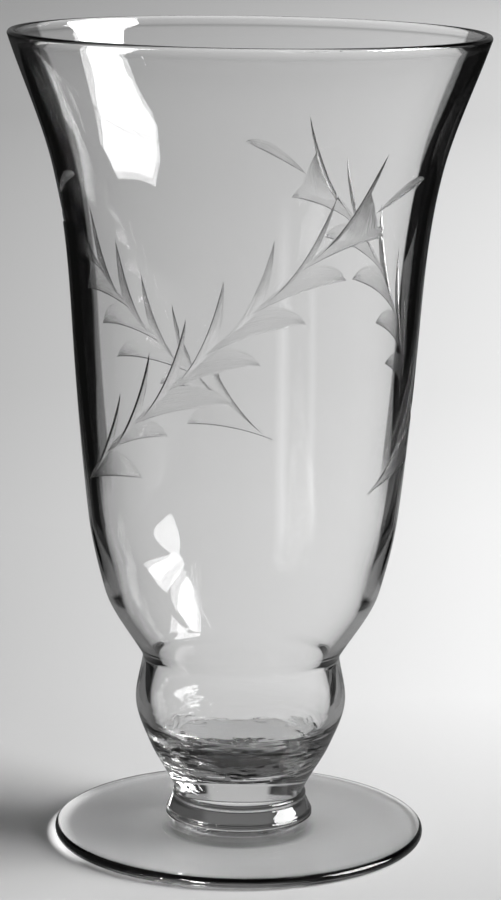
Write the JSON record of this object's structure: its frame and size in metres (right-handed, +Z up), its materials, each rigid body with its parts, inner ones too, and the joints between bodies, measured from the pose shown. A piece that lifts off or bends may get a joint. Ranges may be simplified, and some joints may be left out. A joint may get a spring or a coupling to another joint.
{
  "type": "footed glass vase",
  "caption": "Clear glass footed vase: a flared bell bowl cut with leaf sprays over a round bulb, on a turned collar and a round foot.",
  "frame": {"origin": "centre of the ring under the foot's edge, on the surface that the vase stands on", "axes": "+Z up along the vase's axis; the main leaf spray is on the -Y side"},
  "size_m": [0.1478, 0.1478, 0.254],
  "materials": {
    "clear_glass": "polished clear soda glass, neutral in colour"
  },
  "bodies": {
    "root": {"bowl": "clear_glass", "collar": "clear_glass", "foot": "clear_glass"}
  },
  "joints": []
}
